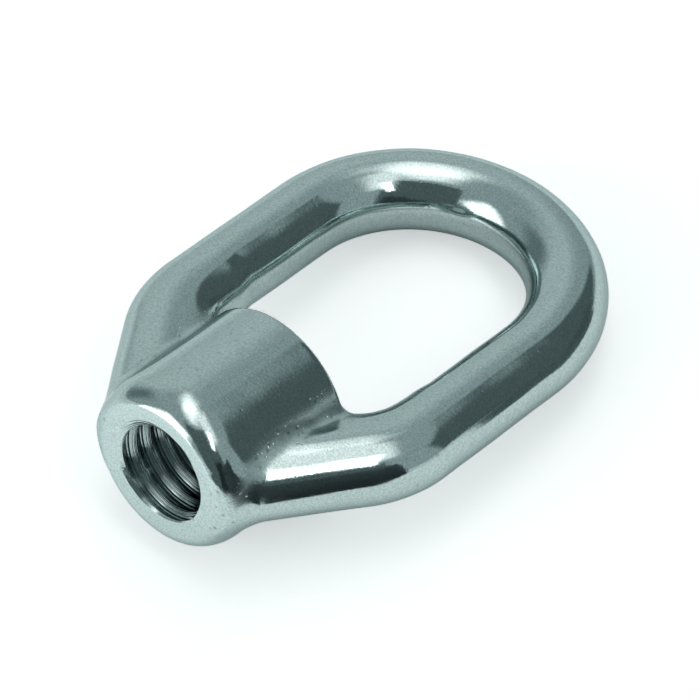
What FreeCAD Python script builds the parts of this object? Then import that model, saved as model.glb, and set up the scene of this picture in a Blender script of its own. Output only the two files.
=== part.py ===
import FreeCAD, Part
import math
import os

# Eye nut cast in one piece: a round tapped boss whose two necks open into a long eye of round bar.
# The thread's axis runs along +Y into the eye, the eye lies in the XY plane and +Z is square to it.
# The origin is the middle of the thread's mouth, on the seat face. Sizes are in millimetres.

# Thread M8 x 1.25: the hole that goes right through the boss has the thread's minor diameter
BORE_D = 6.647
BORE_CHAMFER = 0.19

# Boss: the seat face's edge is well rounded, the back face's edge only broken
BOSS_D = 11.92
BOSS_LENGTH = 10.95
SEAT_EDGE_R = 1.1
BACK_EDGE_R = 0.29

# Eye of round bar: clear width between its sides, and reach from the seat face to its far outside
BAR_D = 5.38
EYE_WIDTH = 14.32
EYE_REACH = 36.8

# Necks: slant from the thread's axis, depth behind the seat face where their outer side leaves the boss,
# and the inside radius of the bend from a neck into a side of the eye
NECK_ANGLE = 34.5
NECK_ROOT = 1.01
NECK_BEND_R = 4.32

# Webs in the eye's two near corners, between the back of the boss and a side: a thinner bent bar that
# starts at a share of the boss radius from the axis. It lies a little under the two faces it runs into.
WEB_D = 4.13
WEB_START = 0.468
WEB_SINK = 0.1

# Fillets where a web meets the bar, and along the crease where the necks and webs leave the boss
WEB_BLEND_R = 0.77
CREASE_R = 0.72

SKIN_GAP = 1e-4

BOSS_R = BOSS_D / 2
BAR_R = BAR_D / 2
WEB_R = WEB_D / 2
WEB_X = WEB_START * BOSS_R
WEB_CORNER_R = EYE_WIDTH / 2 + WEB_SINK - WEB_X
SIDE_X = EYE_WIDTH / 2 + BAR_R
END_Y = EYE_REACH - BAR_R - SIDE_X
SLANT = math.radians(NECK_ANGLE)

SEAT = FreeCAD.Vector(0, 0, 0)
ACROSS = FreeCAD.Vector(1, 0, 0)
ALONG = FreeCAD.Vector(0, 1, 0)
UP = FreeCAD.Vector(0, 0, 1)
NECK_RUN = FreeCAD.Vector(math.sin(SLANT), math.cos(SLANT), 0)
NECK_OUT = FreeCAD.Vector(math.cos(SLANT), -math.sin(SLANT), 0)


def straight_bar(start, end):
    run = end - start
    return Part.makeCylinder(BAR_R, run.Length, start, run)


def bent_bar(centre, inside_radius, bar_radius, start_angle, turn):
    """Bar bent in the XY plane, counter-clockwise through turn degrees."""
    bar = Part.makeTorus(inside_radius + bar_radius, bar_radius, centre, UP, 0, 360, turn)
    bar.rotate(centre, UP, start_angle)
    return bar


def both_sides(shapes):
    return shapes + [shape.mirror(SEAT, ACROSS) for shape in shapes]


def neck_middle(y):
    """Point on the right neck's middle line, at a depth behind the seat face."""
    root = FreeCAD.Vector(BOSS_R, NECK_ROOT, 0) - NECK_OUT * BAR_R
    return root + NECK_RUN * ((y - root.y) / NECK_RUN.y)


def right_leg():
    """Neck from inside the boss, its bend, and the right side of the eye."""
    bend_mid_r = NECK_BEND_R + BAR_R
    start = neck_middle(BAR_R * math.sin(SLANT) + BORE_CHAMFER)
    corner = start + NECK_RUN * ((SIDE_X - start.x) / NECK_RUN.x)
    tangent = bend_mid_r * math.tan(SLANT / 2)
    bend_end = corner + ALONG * tangent
    neck = straight_bar(start, corner - NECK_RUN * tangent)
    bend = bent_bar(bend_end - ACROSS * bend_mid_r, NECK_BEND_R, BAR_R, -NECK_ANGLE, NECK_ANGLE)
    side = straight_bar(bend_end, FreeCAD.Vector(SIDE_X, END_Y, 0))
    return [neck, bend, side]


def right_web():
    centre = FreeCAD.Vector(WEB_X, BOSS_LENGTH - WEB_SINK + WEB_CORNER_R, 0)
    return bent_bar(centre, WEB_CORNER_R, WEB_R, -90, 90)


def on_skin(edge, shape):
    """True where the middle of the edge lies on the outside of the shape."""
    middle = edge.valueAt((edge.FirstParameter + edge.LastParameter) / 2)
    return Part.Vertex(middle).distToShape(Part.Compound(shape.Shells))[0] < SKIN_GAP


def joined(first, second, fillet_radius):
    """Union of two shapes, with a fillet along the lines where their skins cross."""
    union = first.fuse(second)
    crease = [edge for edge in union.Edges if on_skin(edge, first) and on_skin(edge, second)]
    return union.makeFillet(fillet_radius, crease)


def eye():
    """Both legs, the half circle that joins their far ends, and the webs at their near ends."""
    far_bend = bent_bar(FreeCAD.Vector(0, END_Y, 0), EYE_WIDTH / 2, BAR_R, 0, 180)
    bar = far_bend.multiFuse(both_sides(right_leg())).removeSplitter()
    return joined(bar, Part.Compound(both_sides([right_web()])), WEB_BLEND_R)


def boss():
    blank = Part.makeCylinder(BOSS_R, BOSS_LENGTH, SEAT, ALONG)
    seat_rim = [edge for edge in blank.Edges if edge.BoundBox.YMax < BOSS_LENGTH / 2]
    back_rim = [edge for edge in blank.Edges if edge.BoundBox.YMin > BOSS_LENGTH / 2]
    return blank.makeFillet(SEAT_EDGE_R, seat_rim).makeFillet(BACK_EDGE_R, back_rim)


def bore_tool():
    """Through hole with a chamfer at each end, turned about the thread's axis."""
    bore_r = BORE_D / 2
    mouth_r = bore_r + BORE_CHAMFER
    past = BORE_CHAMFER
    profile = [
        (0, -past),
        (mouth_r + past, -past),
        (bore_r, BORE_CHAMFER),
        (bore_r, BOSS_LENGTH - BORE_CHAMFER),
        (mouth_r + past, BOSS_LENGTH + past),
        (0, BOSS_LENGTH + past),
        (0, -past),
    ]
    outline = Part.makePolygon([FreeCAD.Vector(x, y, 0) for x, y in profile])
    return Part.Face(outline).revolve(SEAT, ALONG, 360)


def eye_nut():
    return joined(boss(), eye(), CREASE_R).cut(bore_tool())


os.makedirs("parts", exist_ok=True)
nut = eye_nut()
print("valid", nut.isValid(), "solids", len(nut.Solids), "volume", round(nut.Volume, 1), "mm3")
nut.Solids[0].exportStep("parts/eye_nut.step")
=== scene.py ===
import math

import bpy
import numpy as np
from mathutils import Matrix, Vector


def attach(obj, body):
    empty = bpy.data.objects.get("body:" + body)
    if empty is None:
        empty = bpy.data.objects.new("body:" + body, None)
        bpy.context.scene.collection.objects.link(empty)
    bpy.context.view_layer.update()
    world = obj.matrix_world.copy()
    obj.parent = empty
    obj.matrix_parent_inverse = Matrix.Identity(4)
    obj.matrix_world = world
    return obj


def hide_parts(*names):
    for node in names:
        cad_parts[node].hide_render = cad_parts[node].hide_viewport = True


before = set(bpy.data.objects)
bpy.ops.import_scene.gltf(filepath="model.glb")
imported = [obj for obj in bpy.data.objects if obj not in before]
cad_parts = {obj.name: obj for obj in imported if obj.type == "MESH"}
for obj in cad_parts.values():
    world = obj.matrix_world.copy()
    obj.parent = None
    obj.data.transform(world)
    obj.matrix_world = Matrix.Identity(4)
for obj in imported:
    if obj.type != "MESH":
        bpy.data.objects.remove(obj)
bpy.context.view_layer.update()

MM = 0.001

# The casting, as the solid has it: +Y is the thread's axis, and the eye lies in the XY plane
BOSS_R = 5.96 * MM
BOSS_LENGTH = 10.95 * MM
SEAT_EDGE_R = 1.1 * MM
BACK_EDGE_R = 0.29 * MM
BAR_R = 2.69 * MM
EYE_HALF_WIDTH = 7.16 * MM
EYE_REACH = 36.8 * MM
NECK_ANGLE = math.radians(34.5)
NECK_ROOT = 1.01 * MM
NECK_BEND_R = 4.32 * MM
WEB_R = 2.065 * MM
WEB_START = 0.468
WEB_SINK = 0.1 * MM
WEB_BLEND_R = 0.77 * MM
CREASE_R = 0.72 * MM

# Polishing leaves the seat's edge oval in section: reach into the face, and reach along the boss
SEAT_RIM = (1.25 * MM, 2.2 * MM)

WEB_CORNER_R = EYE_HALF_WIDTH + WEB_SINK - WEB_START * BOSS_R
SIDE_X = EYE_HALF_WIDTH + BAR_R
END_Y = EYE_REACH - BAR_R - SIDE_X

# The tapped hole: M8 x 1.25, right-handed, with a chamfer at each end
PITCH = 1.25 * MM
MINOR_R = 3.3235 * MM
MAJOR_R = 4.0 * MM
CREST_FLAT = PITCH / 4
ROOT_FLAT = PITCH / 8
CREST_BREAK = 0.04 * MM
MOUTH_CHAMFER = 0.19 * MM
THREAD_PHASE = math.radians(100)
STEPS_PER_TURN = 96
TAP_PAST_END = 2 * PITCH
MOUTH_CUTTER_PAST_END = MM / 2

# Lines that the tap leaves along the thread: lines in a pitch, depth in millimetres, phase
TOOL_LINES = ((7, 0.012, 0.4), (11, 0.008, 1.9), (18, 0.004, 3.1))

# Where the thread's own steel begins: by distance from the axis, by that distance and the depth
# behind the nearer end face added up, and by the depth alone, where painted shade darkens it
THREAD_RIM = (MAJOR_R + 0.03 * MM, MAJOR_R + 0.01 * MM)
THREAD_MOUTH = (MINOR_R + 0.20 * MM, MINOR_R + 0.26 * MM)
THREAD_PAINTED_SHADE_DEPTH = (0.15 * MM, 0.9 * MM)

# Mesh of the casting: size of a cell, rounds that even it out, steps that bring a point onto the
# surface, least share that is divided by, distance at which two points are one, and the angle from
# which an edge is sharp
CELL = 0.164 * MM
EVEN_ROUNDS = 5
SURFACE_STEPS = 4
ABOVE_ZERO = 1e-6
WELD = 1e-5 * MM
SHARP_ANGLE = math.radians(40)

# Waves that casting and tumbling leave: how many, shortest and longest wave, and steepness
SLOW_WAVES = (24, 2.4 * MM, 6.2 * MM, 0.008)
SHORT_WAVES = (48, 0.8 * MM, 1.9 * MM, 0.0007)
WAVE_SEED = 5

# Beside the crease between boss and eye the surface is less polished: (depth behind the seat, how
# far that surface reaches from the crease)
CREASE_REACH = ((1.0 * MM, 0.5 * MM), (4.5 * MM, 1.2 * MM), (9.0 * MM, 2.6 * MM))


def point_to_run(x, y, start, end):
    """Distance in the plane from points to a straight run."""
    along = np.subtract(end, start)
    share = ((x - start[0]) * along[0] + (y - start[1]) * along[1]) / along.dot(along)
    share = np.clip(share, 0, 1)
    return np.hypot(x - start[0] - share * along[0], y - start[1] - share * along[1])


def point_to_arc(x, y, centre, radius, first, last):
    """Distance in the plane from points to an arc between two angles."""
    dx = x - centre[0]
    dy = y - centre[1]
    turned = np.arctan2(dy, dx) - (first + last) / 2
    turned = (turned + math.pi) % (2 * math.pi) - math.pi
    on_arc = np.abs(turned) <= (last - first) / 2
    ends = [np.hypot(dx - radius * math.cos(a), dy - radius * math.sin(a)) for a in (first, last)]
    return np.where(on_arc, np.abs(np.hypot(dx, dy) - radius), np.minimum(*ends))


def blended(first, second, radius):
    """Union of two distance fields, with a round fillet where they meet."""
    near = np.hypot(np.maximum(radius - first, 0), np.maximum(radius - second, 0))
    return np.maximum(radius, np.minimum(first, second)) - near


def neck_middle(y):
    """Point on the right neck's middle line, at a depth behind the seat face."""
    root_x = BOSS_R - BAR_R * math.cos(NECK_ANGLE)
    root_y = NECK_ROOT + BAR_R * math.sin(NECK_ANGLE)
    return np.array([root_x + (y - root_y) * math.tan(NECK_ANGLE), y])


def leg_distance(x, y):
    """Distance in the plane to the middle line of the right leg and half of the far bend."""
    run = np.array([math.sin(NECK_ANGLE), math.cos(NECK_ANGLE)])
    bend_r = NECK_BEND_R + BAR_R
    tangent = bend_r * math.tan(NECK_ANGLE / 2)
    start = neck_middle(BAR_R * math.sin(NECK_ANGLE) + MOUTH_CHAMFER)
    corner = start + run * ((SIDE_X - start[0]) / run[0])
    bend_start = corner - run * tangent
    bend_end = corner + np.array([0, tangent])
    near_bend = (bend_end[0] - bend_r, bend_end[1])
    stretches = [
        point_to_run(x, y, start, bend_start),
        point_to_arc(x, y, near_bend, bend_r, -NECK_ANGLE, 0),
        point_to_run(x, y, bend_end, (SIDE_X, END_Y)),
        point_to_arc(x, y, (0, END_Y), SIDE_X, 0, math.pi / 2),
    ]
    return np.minimum.reduce(stretches)


def boss_field(x, y, z):
    """Round bar along Y whose two rims are rounded, the seat's with an oval section."""
    front = y < BOSS_LENGTH / 2
    rim_in = np.where(front, SEAT_RIM[0], BACK_EDGE_R)
    rim_along = np.where(front, SEAT_RIM[1], BACK_EDGE_R)
    across = np.hypot(x, z) - BOSS_R
    along = np.maximum(-y, y - BOSS_LENGTH)
    u = np.maximum(across / rim_in + 1, ABOVE_ZERO)
    v = np.maximum(along / rim_along + 1, ABOVE_ZERO)
    reach = np.hypot(u, v)
    rim = (reach - 1) * reach / np.hypot(u / rim_in, v / rim_along)
    return np.where((across > -rim_in) & (along > -rim_along), rim, np.maximum(across, along))


def web_field(x, y, z):
    centre = (EYE_HALF_WIDTH + WEB_SINK - WEB_CORNER_R, BOSS_LENGTH - WEB_SINK + WEB_CORNER_R)
    return np.hypot(point_to_arc(x, y, centre, WEB_CORNER_R + WEB_R, -math.pi / 2, 0), z) - WEB_R


def eye_field(x, y, z):
    side = np.abs(x)
    bar = np.hypot(leg_distance(side, y), z) - BAR_R
    return blended(bar, web_field(side, y, z), WEB_BLEND_R)


def crease_nearness(points):
    """1 in the crease of boss and eye, falling to 0 where the less polished surface ends."""
    x, y, z = points.T
    away = np.maximum(np.abs(boss_field(x, y, z)), np.abs(eye_field(x, y, z)))
    return np.clip(1 - away / np.interp(y, *zip(*CREASE_REACH)), 0, 1)


def casting_field(points):
    """Signed distance to the casting without its hole, negative inside."""
    x, y, z = points.T
    eye_behind_seat = np.maximum(eye_field(x, y, z), SEAT_EDGE_R / 2 - y)
    return blended(boss_field(x, y, z), eye_behind_seat, CREASE_R)


def wave_heights(points):
    """Height of the waves at points: a sum of plane waves in seeded directions."""
    rng = np.random.default_rng(WAVE_SEED)
    height = np.zeros(len(points))
    for count, shortest, longest, steepness in (SLOW_WAVES, SHORT_WAVES):
        for _ in range(count):
            direction = rng.normal(size=3)
            direction /= np.linalg.norm(direction)
            length = rng.uniform(shortest, longest)
            phase = rng.uniform(0, 2 * math.pi)
            swing = steepness * length / (2 * math.pi) * math.sqrt(2 / count)
            height += swing * np.sin(points @ direction * (2 * math.pi / length) + phase)
    return height


def slope_of(field, points, reach=0.01 * MM):
    """Unit direction in which the field grows."""
    columns = []
    for step in np.eye(3) * reach:
        columns.append(field(points + step) - field(points - step))
    slope = np.stack(columns, axis=1)
    return slope / np.linalg.norm(slope, axis=1, keepdims=True)


def onto_surface(field, points):
    for _ in range(SURFACE_STEPS):
        points = points - slope_of(field, points) * field(points)[:, None]
    return points


def surface_cells(field, low, high, cell):
    """Quad mesh with a point in each grid cell that the field's zero surface crosses."""
    axes = [np.arange(a - cell, b + 2 * cell, cell) for a, b in zip(low, high)]
    shape = [len(axis) for axis in axes]
    inside = np.empty(shape, bool)
    flat = np.stack(np.meshgrid(axes[1], axes[2], indexing="ij"), -1).reshape(-1, 2)
    for i, x in enumerate(axes[0]):
        sheet = np.column_stack([np.full(len(flat), x), flat])
        inside[i] = (field(sheet) < 0).reshape(shape[1:])
    filled = sum(
        inside[i : shape[0] - 1 + i, j : shape[1] - 1 + j, k : shape[2] - 1 + k].astype(np.int8)
        for i in (0, 1)
        for j in (0, 1)
        for k in (0, 1)
    )
    crossed = (filled > 0) & (filled < 8)
    number = np.full(crossed.shape, -1)
    number[crossed] = np.arange(crossed.sum())
    points = np.argwhere(crossed) * cell + [axis[0] + cell / 2 for axis in axes]
    quads = []
    for k in range(3):
        ahead = np.roll(inside, -1, axis=k)
        u, v = np.eye(3, dtype=int)[[(k + 1) % 3, (k + 2) % 3]]
        for leaving in (True, False):
            edges = np.argwhere((inside & ~ahead) if leaving else (~inside & ahead))
            ring = [edges - u - v, edges - v, edges, edges - u]
            quad = np.stack([number[tuple(cells.T)] for cells in ring], axis=1)
            quads.append(quad if leaving else quad[:, ::-1])
    return points, np.concatenate(quads)


def evened(field, points, quads, rounds):
    """Moves each point to the middle of its neighbours and back onto the surface."""
    start = quads.ravel()
    end = np.roll(quads, -1, axis=1).ravel()
    n = len(points)
    count = np.bincount(start, minlength=n) + np.bincount(end, minlength=n)
    for _ in range(rounds):
        middle = np.empty_like(points)
        for k in range(3):
            ahead = np.bincount(start, points[end, k], n)
            behind = np.bincount(end, points[start, k], n)
            middle[:, k] = (ahead + behind) / count
        points = onto_surface(field, middle)
    return points


def new_object(name, points, faces):
    mesh = bpy.data.meshes.new(name)
    mesh.from_pydata([tuple(p) for p in points], [], [tuple(f) for f in faces])
    mesh.update()
    made = bpy.data.objects.new(name, mesh)
    bpy.context.scene.collection.objects.link(made)
    return made


def casting_object():
    low = (-SIDE_X - BAR_R, 0, -BOSS_R)
    high = (SIDE_X + BAR_R, EYE_REACH, BOSS_R)
    points, quads = surface_cells(casting_field, low, high, CELL)
    points = evened(casting_field, onto_surface(casting_field, points), quads, EVEN_ROUNDS)
    seat = np.clip(points[:, 1] / SEAT_EDGE_R, 0, 1)
    points = points + slope_of(casting_field, points) * (wave_heights(points) * seat)[:, None]
    return new_object("eye_nut_cast", points, quads)


def tap_profile():
    """(place along the axis, radius) over one pitch, from the middle of one crest to the next."""
    crest = CREST_FLAT / 2
    root = (PITCH - ROOT_FLAT) / 2
    broken = CREST_BREAK * math.sqrt(3) / 2
    half = [
        (0, MINOR_R),
        (crest - CREST_BREAK / 2, MINOR_R),
        (crest + CREST_BREAK / 2, MINOR_R + broken),
        (root, MAJOR_R),
    ]
    return half + [(PITCH - y, r) for y, r in half[:0:-1]]


def tap_object():
    """Threaded cutter that runs past both ends of the boss. Its rows climb along the helix."""
    profile = tap_profile()
    rows = []
    y = -TAP_PAST_END
    while y < BOSS_LENGTH + TAP_PAST_END:
        rows += [(y + along, radius) for along, radius in profile]
        y += PITCH
    rows_of_turn = len(profile)
    count = len(rows)
    points = []
    for j in range(STEPS_PER_TURN):
        angle = 2 * math.pi * j / STEPS_PER_TURN
        turned = angle + THREAD_PHASE
        for along, radius in rows:
            rise = PITCH * angle / (2 * math.pi)
            points.append((radius * math.cos(turned), along + rise, -radius * math.sin(turned)))
    faces = []
    for j in range(STEPS_PER_TURN):
        last = j == STEPS_PER_TURN - 1
        shift = rows_of_turn if last else 0
        here = j * count
        there = 0 if last else here + count
        for i in range(count - 1 - shift):
            faces.append((there + i + shift, there + i + 1 + shift, here + i + 1, here + i))
    last_column = (STEPS_PER_TURN - 1) * count
    low_loop = [j * count for j in range(STEPS_PER_TURN)] + list(range(rows_of_turn, 0, -1))
    high_loop = [j * count + count - 1 for j in range(STEPS_PER_TURN)]
    high_loop += [last_column + count - 1 - i for i in range(1, rows_of_turn + 1)]
    low = len(points)
    points.append((0, rows[0][0], 0))
    high = len(points)
    points.append((0, rows[-1][0] + PITCH, 0))
    faces += [(low_loop[i], low_loop[i - 1], low) for i in range(len(low_loop))]
    faces += [(high_loop[i - 1], high_loop[i], high) for i in range(len(high_loop))]
    return new_object("tap", points, faces)


def mouth_cutter(name, y, inward):
    """Cone that chamfers the hole where it opens at y. It widens out of the boss."""
    mouth = MINOR_R + MOUTH_CHAMFER
    narrow = (y + inward * 2 * MOUTH_CHAMFER, mouth - 2 * MOUTH_CHAMFER)
    wide = (y - inward * MOUTH_CUTTER_PAST_END, mouth + MOUTH_CUTTER_PAST_END)
    points = []
    for along, radius in (narrow, wide):
        for j in range(STEPS_PER_TURN):
            angle = 2 * math.pi * j / STEPS_PER_TURN
            points.append((radius * math.cos(angle), along, -radius * math.sin(angle)))
    n = STEPS_PER_TURN
    faces = [(j, (j + 1) % n, n + (j + 1) % n, n + j) for j in range(n)]
    faces += [tuple(range(n - 1, -1, -1)), tuple(range(n, 2 * n))]
    if inward > 0:
        faces = [face[::-1] for face in faces]
    return new_object(name, points, faces)


def cut(target, tool):
    """Cuts the tool out of the target for good, and removes the tool."""
    boolean = target.modifiers.new("cut", "BOOLEAN")
    boolean.operation = "DIFFERENCE"
    boolean.solver = "EXACT"
    boolean.object = tool
    with bpy.context.temp_override(object=target, active_object=target, selected_objects=[target]):
        bpy.ops.object.modifier_apply(modifier=boolean.name)
    bpy.data.objects.remove(tool)


def drop_flaps(mesh):
    """Turns the mesh into triangles, without the slivers that the cuts leave.

    They are shrunk to a line, or lie in pairs folded flat on each other.
    """
    mesh.calc_loop_triangles()
    points = np.array([v.co for v in mesh.vertices])
    faces = np.array([triangle.vertices for triangle in mesh.loop_triangles])
    cells = np.round(points / WELD)
    _, first, place = np.unique(cells, axis=0, return_index=True, return_inverse=True)
    faces = place.ravel()[faces]
    corners = np.sort(faces, axis=1)
    wide = (np.diff(corners, axis=1) > 0).all(axis=1)
    _, twin, uses = np.unique(corners, axis=0, return_inverse=True, return_counts=True)
    faces = faces[wide & (uses[twin.ravel()] == 1)]
    used, faces = np.unique(faces, return_inverse=True)
    mesh.clear_geometry()
    mesh.from_pydata(points[first[used]].tolist(), [], faces.reshape(-1, 3).tolist())
    mesh.update()


# The nut lies on a table, on the boss's back rim and on the far bend. TABLE_TURN takes directions
# from the table's frame into the nut's. TABLE_FADE is where the table fades out, in its reach.
TABLE_HEEL = Vector((0, BOSS_LENGTH - BACK_EDGE_R, -BOSS_R))
TABLE_TOE = Vector((0, END_Y + SIDE_X, -BAR_R))
TABLE_TILT = math.atan2(TABLE_TOE.z - TABLE_HEEL.z, TABLE_TOE.y - TABLE_HEEL.y)
TABLE_TURN = Matrix.Rotation(TABLE_TILT, 3, "X")
TABLE_REACH = 125 * MM
TABLE_SIDES = 96
TABLE_FADE = (0.45, 0.98)
TABLE_PALE = (0.84, 0.87, 0.87, 1)
TABLE_GLOW = 0.47

# The table as the polished steel shows it: its glow, and the distance from the nut within which the
# glow fades, which paints shade on the table near the nut. Each patch in the list below paints
# light or
# shade there: a brighter one in front of the seat and a darker one in the far bend, by middle on
# the table and radius in millimetres, and added glow.
MIRRORED_GLOW = 0.36
PAINTED_SHADE_REACH = 7.5 * MM
PAINTED_SHADE_SAMPLES = 8
PAINTED_LIGHT_AND_SHADE_PATCHES = ((-10, -34, 43, 0.34), (-2, 15, 9, -0.24))

# The studio, seen from the nut: azimuth from the table's +Y towards +X, height above the table,
# half width, half height, roll and soft edge in degrees, and the light's level. Later panels cover
# earlier ones.
PANELS = {
    "left_wall": (-56, 19, 27, 27, 12, 26, 0.70),
    "left_dark": (-97, 19, 14, 19, -5, 22, 0.24),
    "rear_dark": (34, 17, 33, 21, -24, 5, 0.14),
    "rear_core": (42, 0, 29, 8, -20, 7, 0.11),
    "right_grey": (92, 33, 25, 41, -20, 4, 0.48),
    "front_dark": (133, 9, 36, 57, -3, 3, 0.15),
    "front_core": (113, 3, 11, 21, -5, 7, 0.035),
    "front_left": (-158, 18, 16, 22, 19, 12, 2.6),
    "overhead": (-20, 81, 24, 9, 77, 15, 1.7),
    "right_high": (70, 65, 22, 9, -47, 9, 1.4),
    "finger": (-31, 60, 3, 11, -6, 12, 1.9),
    "bend_glow": (-23, 78, 8, 11, 0, 10, 2.5),
    "hot_strip": (97, 50, 12, 3, -55, 4, 5.0),
}

# Light between the panels at the horizon and overhead, light from below the horizon, and half the
# horizon's blur. Dark light has a tint, which fades towards the untinted level.
SKY_LOW = 0.44
SKY_HIGH = 0.48
TABLE_LIGHT = 0.8
HORIZON_BLUR = 0.02
DARK_TINT = (0.76, 1.0, 1.04)
UNTINTED_LEVEL = 1.1

# Cards that stand on the table and that only the steel's reflections see: the dark ones paint dark
# reflections and the bright one paints a highlight. In millimetres: two ends on the table and the
# height at each end, then the light's level below and on top
REFLECTION_ONLY_CARDS = {
    "front_dark_reflection_card": ((20, -14), (77, 0.5), (14.5, 41), (0.03, 0.08)),
    "right_dark_reflection_card": ((29, 18), (32, 82), (6.2, 6.2), (0.13, 0.13)),
    "soft_highlight_card": ((-40, -50), (-9, -66), (22, 22), (2.2, 2.6)),
}

# Colours of the steel, of the steel deep in the thread darkened as painted shade, and of both at
# grazing angles
STEEL = (0.45, 0.55, 0.54, 1)
THREAD_STEEL_PAINTED_SHADE = (0.31, 0.38, 0.38, 1)
EDGE_TINT = (0.60, 0.66, 0.66, 1)

# Relief of the steel's skin. Noises: features in a metre, detail, roughness. Pits: cells in a
# metre, share of cells that have one, and its radius in cells. Heights and depths are in
# millimetres.
FINE_NOISE = (2300, 2, 0.5)
FINE_HEIGHT = 0.0015
FINER_NOISE = (5400, 3, 0.6)
FINER_HEIGHT = 0.0024
FINE_PITS = (1900, 0.30, 0.25)
FINE_PIT_DEPTH = 0.003

# The skin by the crease: a ragged edge, how near the crease bare cast skin and sand-like pits begin
# and are full, and their relief
RAGGED_NOISE = (1000, 2, 0.5)
RAGGEDNESS = 0.6
CAST_SKIN = (0.70, 1.0)
CAST_NOISE = (6000, 3, 0.7)
CAST_HEIGHT = 0.022
SANDY_SKIN = (0.22, 0.70)
SANDY_PITS = (3600, 0.35, 0.35)
SANDY_PIT_DEPTH = 0.030

# Roughness wanders between two values and grows towards the crease. Tone is the grain's darkest and
# brightest, less what stains take away everywhere and specks by the crease.
WANDER_NOISE = (540, 3, 0.5)
ROUGHNESS = (0.07, 0.13)
WORN_SKIN = (0.1, 0.9)
WORN_ROUGHNESS = 0.24
GRAIN_NOISE = (7000, 2, 0.8)
TONE = (0.80, 1.20)
STAINS = (1250, 0.35, 0.30)
STAIN_DARKNESS = 0.16
SPECKS = (2100, 0.45, 0.40)
SPECK_DARKNESS = 0.5

# Most of a noise's values lie between these. A cell's chance of a pit rises over this much.
NOISE_SPREAD = (0.3, 0.7)
PIT_CHANCE_BLUR = 0.01

# The photo's camera
CAMERA_AZIMUTH = math.radians(40.1)
CAMERA_ELEVATION = math.radians(42.5)
CAMERA_ROLL = math.radians(2.86)
CAMERA_DISTANCE = 360.4 * MM
CAMERA_LENS = 289
CAMERA_AIM = Vector((0.72, 17.1, -0.26)) * MM


def from_table(azimuth, height):
    """Direction in the nut's frame, from an azimuth and a height above the table, in degrees."""
    a, h = math.radians(azimuth), math.radians(height)
    return TABLE_TURN @ Vector((math.sin(a) * math.cos(h), math.cos(a) * math.cos(h), math.sin(h)))


def on_table(x, y, height):
    """Point above the table, in millimetres: x across, y along it from the boss's back rim."""
    return TABLE_HEEL + TABLE_TURN @ Vector((x, y, height)) * MM


class Nodes:
    """Short calls to build a node tree."""

    def __init__(self, tree):
        self.tree = tree
        tree.nodes.clear()

    def add(self, kind, inputs=None, **settings):
        node = self.tree.nodes.new(kind)
        for name, value in settings.items():
            setattr(node, name, value)
        for name, value in (inputs or {}).items():
            socket = node.inputs[name]
            if isinstance(value, bpy.types.NodeSocket):
                self.tree.links.new(value, socket)
            else:
                socket.default_value = value
        return node

    def math(self, operation, *values):
        inputs = dict(enumerate(values))
        return self.add("ShaderNodeMath", inputs, operation=operation).outputs[0]

    def vector(self, operation, *values, out="Value"):
        inputs = dict(enumerate(values))
        return self.add("ShaderNodeVectorMath", inputs, operation=operation).outputs[out]

    def ramp(self, value, low, high, smooth=True):
        """0 at low and 1 at high."""
        kind = "SMOOTHSTEP" if smooth else "LINEAR"
        fixed = {"Value": value, "From Min": low, "From Max": high}
        return self.add("ShaderNodeMapRange", fixed, interpolation_type=kind).outputs[0]

    def mix(self, share, first, second):
        node = self.add("ShaderNodeMix", {0: share, 2: first, 3: second}, data_type="FLOAT")
        return node.outputs[0]


def panel_mask(nodes, direction, azimuth, height, half_width, half_height, roll, soft):
    """1 where the direction lies in the panel and 0 outside, with soft edges."""
    middle = from_table(azimuth, height)
    right = from_table(azimuth + 90, 0)
    up = right.cross(middle)
    turn = Matrix.Rotation(math.radians(-roll), 3, middle)
    to_right = nodes.vector("DOT_PRODUCT", direction, turn @ right)
    ahead = nodes.vector("DOT_PRODUCT", direction, middle)
    across = nodes.math("ARCTAN2", to_right, ahead)
    along = nodes.math("ARCSINE", nodes.vector("DOT_PRODUCT", direction, turn @ up))
    masks = []
    for angle, half in ((across, half_width), (along, half_height)):
        edge = nodes.math("ABSOLUTE", angle)
        outer = math.radians(half + soft / 2)
        masks.append(nodes.ramp(edge, outer, math.radians(half - soft / 2)))
    return nodes.math("MULTIPLY", *masks)


def build_world():
    world = bpy.data.worlds.new("studio")
    bpy.context.scene.world = world
    world.use_nodes = True
    nodes = Nodes(world.node_tree)
    direction = nodes.add("ShaderNodeTexCoord").outputs["Generated"]
    height = nodes.vector("DOT_PRODUCT", direction, TABLE_TURN @ Vector((0, 0, 1)))
    level = nodes.mix(nodes.ramp(height, 0, 1, smooth=False), SKY_LOW, SKY_HIGH)
    for azimuth, rise, half_width, half_height, roll, soft, light in PANELS.values():
        mask = panel_mask(nodes, direction, azimuth, rise, half_width, half_height, roll, soft)
        level = nodes.mix(mask, level, light)
    above = nodes.ramp(height, -HORIZON_BLUR, HORIZON_BLUR)
    level = nodes.mix(above, TABLE_LIGHT, level)
    bright = nodes.ramp(level, 0, UNTINTED_LEVEL, smooth=False)
    tinted = [nodes.math("MULTIPLY", level, nodes.mix(bright, tint, 1.0)) for tint in DARK_TINT]
    colour = nodes.add("ShaderNodeCombineXYZ", dict(enumerate(tinted))).outputs[0]
    background = nodes.add("ShaderNodeBackground", {"Color": colour})
    nodes.add("ShaderNodeOutputWorld", {"Surface": background.outputs[0]})


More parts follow.
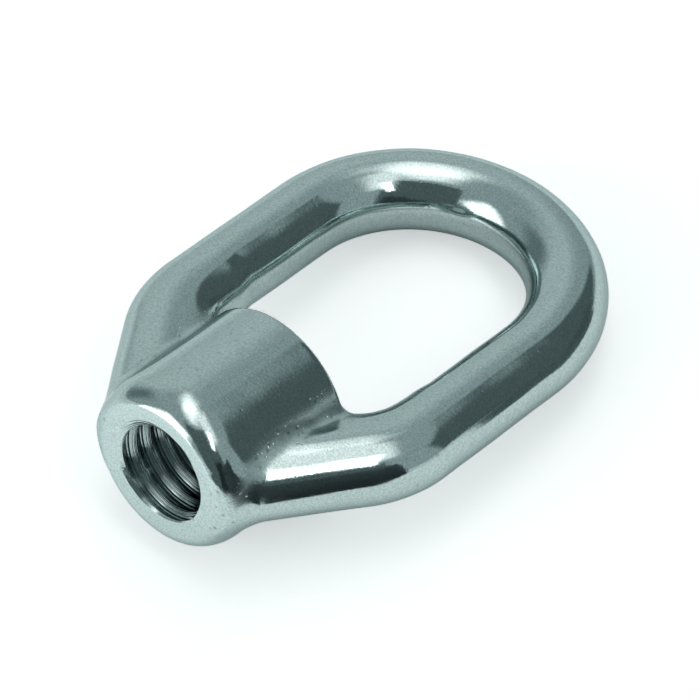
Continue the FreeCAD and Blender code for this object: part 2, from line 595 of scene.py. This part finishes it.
def build_table():
    middle = (TABLE_HEEL + TABLE_TOE) / 2
    points = [middle]
    for j in range(TABLE_SIDES):
        angle = 2 * math.pi * j / TABLE_SIDES
        outwards = Vector((math.cos(angle), math.sin(angle), 0))
        points.append(middle + TABLE_TURN @ outwards * TABLE_REACH)
    faces = [(0, 1 + j, 1 + (j + 1) % TABLE_SIDES) for j in range(TABLE_SIDES)]
    table = new_object("table", points, faces)
    material = bpy.data.materials.new("pale_table_with_painted_light")
    material.use_nodes = True
    nodes = Nodes(material.node_tree)
    place = nodes.add("ShaderNodeTexCoord").outputs["Object"]
    offset = nodes.vector("DISTANCE", place, middle)
    fade = nodes.ramp(offset, TABLE_REACH * TABLE_FADE[0], TABLE_REACH * TABLE_FADE[1])
    light = nodes.add("ShaderNodeLightPath").outputs
    seen = nodes.math("MAXIMUM", light["Is Camera Ray"], light["Is Transmission Ray"])
    pale = nodes.add("ShaderNodeBsdfDiffuse", {"Color": TABLE_PALE})
    # Painted light and shade that only the steel's reflections see: a brighter patch before the
    # seat, a darker one in the far bend
    painted_patches = 0.0
    for x, y, radius, more in PAINTED_LIGHT_AND_SHADE_PATCHES:
        away = nodes.vector("DISTANCE", place, on_table(x, y, 0))
        painted_patches = nodes.math("MULTIPLY_ADD", nodes.ramp(away, radius * MM, 0), more, painted_patches)
    # Painted shade: the glow that the steel sees fades near the nut, by ambient occlusion
    near = {"Distance": PAINTED_SHADE_REACH}
    open_sky_for_painted_shade = nodes.add("ShaderNodeAmbientOcclusion", near, samples=PAINTED_SHADE_SAMPLES)
    mirrored_glow_and_painted_light = nodes.math("MULTIPLY_ADD", open_sky_for_painted_shade.outputs["AO"], MIRRORED_GLOW, painted_patches)
    mirrored_glow_and_painted_light = nodes.math("MULTIPLY", light["Is Glossy Ray"], mirrored_glow_and_painted_light)
    strength = nodes.math("MULTIPLY_ADD", seen, TABLE_GLOW, mirrored_glow_and_painted_light)
    glow = nodes.add("ShaderNodeEmission", {"Strength": strength})
    lit = nodes.add("ShaderNodeAddShader", {0: pale.outputs[0], 1: glow.outputs[0]})
    clear = nodes.add("ShaderNodeBsdfTransparent")
    surface = nodes.add("ShaderNodeMixShader", {0: fade, 1: lit.outputs[0], 2: clear.outputs[0]})
    nodes.add("ShaderNodeOutputMaterial", {"Surface": surface.outputs[0]})
    table.data.materials.append(material)


def build_reflection_only_cards():
    for name, (start, end, heights, levels) in REFLECTION_ONLY_CARDS.items():
        foot = [on_table(*start, 0), on_table(*end, 0)]
        top = [on_table(*end, heights[1]), on_table(*start, heights[0])]
        card = new_object(name, foot + top, [(0, 1, 2, 3)])
        rise = card.data.attributes.new("rise", "FLOAT", "POINT")
        rise.data.foreach_set("value", [0, 0, 1, 1])
        material = bpy.data.materials.new(name)
        material.use_nodes = True
        nodes = Nodes(material.node_tree)
        share = nodes.add("ShaderNodeAttribute", attribute_name="rise").outputs["Fac"]
        tint = DARK_TINT if levels[0] < 1 else (1, 1, 1)
        light = {"Color": (*tint, 1), "Strength": nodes.mix(share, *levels)}
        glow = nodes.add("ShaderNodeEmission", light)
        nodes.add("ShaderNodeOutputMaterial", {"Surface": glow.outputs[0]})
        card.data.materials.append(material)
        # Only the steel's reflections see the cards: painted dark reflections and a painted
        # highlight, with no shadow or light cast
        card.visible_camera = False
        card.visible_diffuse = False
        card.visible_shadow = False


def thread_parts(nodes, place):
    """Shares, 0 to 1, by which a point lies in the thread and deep in it, where shade is painted,
    and the tool's lines.
    """
    x, y, z = nodes.add("ShaderNodeSeparateXYZ", {0: place}).outputs
    radius = nodes.vector("LENGTH", nodes.vector("MULTIPLY", place, (1, 0, 1), out="Vector"))
    depth = nodes.math("MINIMUM", y, nodes.math("SUBTRACT", BOSS_LENGTH, y))
    past_mouth = nodes.ramp(nodes.math("ADD", depth, radius), *THREAD_MOUTH)
    inside = nodes.math("MULTIPLY", nodes.ramp(radius, *THREAD_RIM), past_mouth)
    # Painted shade deep in the hole: grows with the depth behind the nearer end face
    deep = nodes.math("MULTIPLY", inside, nodes.ramp(depth, *THREAD_PAINTED_SHADE_DEPTH))
    angle = nodes.math("ARCTAN2", nodes.math("MULTIPLY", z, -1), x)
    turned = nodes.math("SUBTRACT", angle, THREAD_PHASE)
    climb = nodes.math("MULTIPLY", turned, PITCH / (2 * math.pi))
    along = nodes.math("MULTIPLY", nodes.math("SUBTRACT", y, climb), 2 * math.pi / PITCH)
    lines = 0.0
    for per_turn, depth_mm, phase in TOOL_LINES:
        swing = nodes.math("SINE", nodes.math("MULTIPLY_ADD", along, per_turn, phase))
        lines = nodes.math("MULTIPLY_ADD", swing, depth_mm * MM, lines)
    return inside, deep, nodes.math("MULTIPLY", lines, inside)


def pit_heights(nodes, place, per_metre, share, radius):
    """Round pits in a share of the cells: 0 outside and -1 at the bottom. radius is in cells."""
    cells = nodes.add("ShaderNodeTexVoronoi", {"Vector": place, "Scale": per_metre}).outputs
    chance = nodes.add("ShaderNodeSeparateColor", {0: cells["Color"]}).outputs[0]
    picked = nodes.ramp(chance, share, share - PIT_CHANCE_BLUR, smooth=False)
    depth = nodes.math("MULTIPLY", nodes.ramp(cells["Distance"], radius, 0), -1)
    return nodes.math("MULTIPLY", picked, depth)


def steel_material():
    material = bpy.data.materials.new("polished_stainless")
    material.use_nodes = True
    nodes = Nodes(material.node_tree)
    place = nodes.add("ShaderNodeTexCoord").outputs["Object"]
    crease = nodes.add("ShaderNodeAttribute", attribute_name="crease").outputs["Fac"]
    inside, deep, lines = thread_parts(nodes, place)

    def noise(per_metre, detail, rough):
        fixed = {"Vector": place, "Scale": per_metre, "Detail": detail, "Roughness": rough}
        return nodes.add("ShaderNodeTexNoise", fixed).outputs["Fac"]

    def pits(per_metre, share, radius):
        return pit_heights(nodes, place, per_metre, share, radius)

    ragged = nodes.math("SUBTRACT", noise(*RAGGED_NOISE), 0.5)
    by_crease = nodes.math("ADD", crease, nodes.math("MULTIPLY", ragged, RAGGEDNESS))
    bare = nodes.ramp(by_crease, *CAST_SKIN)
    sandy = nodes.ramp(by_crease, *SANDY_SKIN)
    heights = [
        (noise(*FINE_NOISE), FINE_HEIGHT),
        (noise(*FINER_NOISE), FINER_HEIGHT),
        (pits(*FINE_PITS), FINE_PIT_DEPTH),
        (nodes.math("MULTIPLY", bare, noise(*CAST_NOISE)), CAST_HEIGHT),
        (nodes.math("MULTIPLY", sandy, pits(*SANDY_PITS)), SANDY_PIT_DEPTH),
    ]
    height = 0.0
    for relief, millimetres in heights:
        height = nodes.math("MULTIPLY_ADD", relief, millimetres * MM, height)
    height = nodes.math("MULTIPLY_ADD", height, nodes.math("SUBTRACT", 1, inside), lines)
    bump = nodes.add("ShaderNodeBump", {"Height": height, "Distance": 1.0}).outputs[0]

    wander = nodes.ramp(noise(*WANDER_NOISE), *NOISE_SPREAD, smooth=False)
    worn = nodes.math("MULTIPLY", nodes.ramp(crease, *WORN_SKIN), WORN_ROUGHNESS)
    roughness = nodes.math("ADD", nodes.mix(wander, *ROUGHNESS), worn)

    grain = nodes.ramp(noise(*GRAIN_NOISE), *NOISE_SPREAD, smooth=False)
    stains = nodes.math("MULTIPLY", pits(*STAINS), STAIN_DARKNESS)
    specks = nodes.math("MULTIPLY", sandy, pits(*SPECKS))
    specks = nodes.math("MULTIPLY", specks, SPECK_DARKNESS)
    tone = nodes.math("ADD", nodes.mix(grain, *TONE), stains)
    tone = nodes.math("ADD", tone, specks)
    # Painted shade: the steel's colour is darker deep in the thread
    mixed = {0: deep, 6: STEEL, 7: THREAD_STEEL_PAINTED_SHADE}
    cast = nodes.add("ShaderNodeMix", mixed, data_type="RGBA").outputs[2]
    toned = nodes.add("ShaderNodeVectorMath", {0: cast, "Scale": tone}, operation="SCALE")
    colour = toned.outputs[0]
    steel = {"Base Color": colour, "Metallic": 1.0, "Roughness": roughness, "Normal": bump}
    steel["Specular Tint"] = EDGE_TINT
    surface = nodes.add("ShaderNodeBsdfPrincipled", steel)
    nodes.add("ShaderNodeOutputMaterial", {"Surface": surface.outputs[0]})
    return material


def build_nut():
    nut = casting_object()
    cut(nut, tap_object())
    cut(nut, mouth_cutter("mouth_cutter", 0, 1))
    cut(nut, mouth_cutter("back_mouth_cutter", BOSS_LENGTH, -1))
    drop_flaps(nut.data)
    nut.data.shade_smooth()
    nut.data.set_sharp_from_angle(angle=SHARP_ANGLE)
    places = np.array([v.co for v in nut.data.vertices])
    crease = nut.data.attributes.new("crease", "FLOAT", "POINT")
    crease.data.foreach_set("value", crease_nearness(places))
    nut.data.materials.append(steel_material())
    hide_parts("eye_nut")
    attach(nut, "root")


def build_camera():
    a, e = CAMERA_AZIMUTH, CAMERA_ELEVATION
    back = Vector((math.sin(a) * math.cos(e), -math.cos(a) * math.cos(e), math.sin(e)))
    right = Vector((math.cos(a), math.sin(a), 0))
    up = back.cross(right)
    turn = Matrix((right, up, back)).transposed() @ Matrix.Rotation(CAMERA_ROLL, 3, "Z")
    data = bpy.data.cameras.new("camera")
    data.lens = CAMERA_LENS
    camera = bpy.data.objects.new("camera", data)
    bpy.context.scene.collection.objects.link(camera)
    camera.matrix_world = Matrix.Translation(CAMERA_AIM + back * CAMERA_DISTANCE) @ turn.to_4x4()
    bpy.context.scene.camera = camera


bpy.context.scene.view_settings.view_transform = "Standard"
build_world()
build_table()
build_reflection_only_cards()
build_nut()
build_camera()
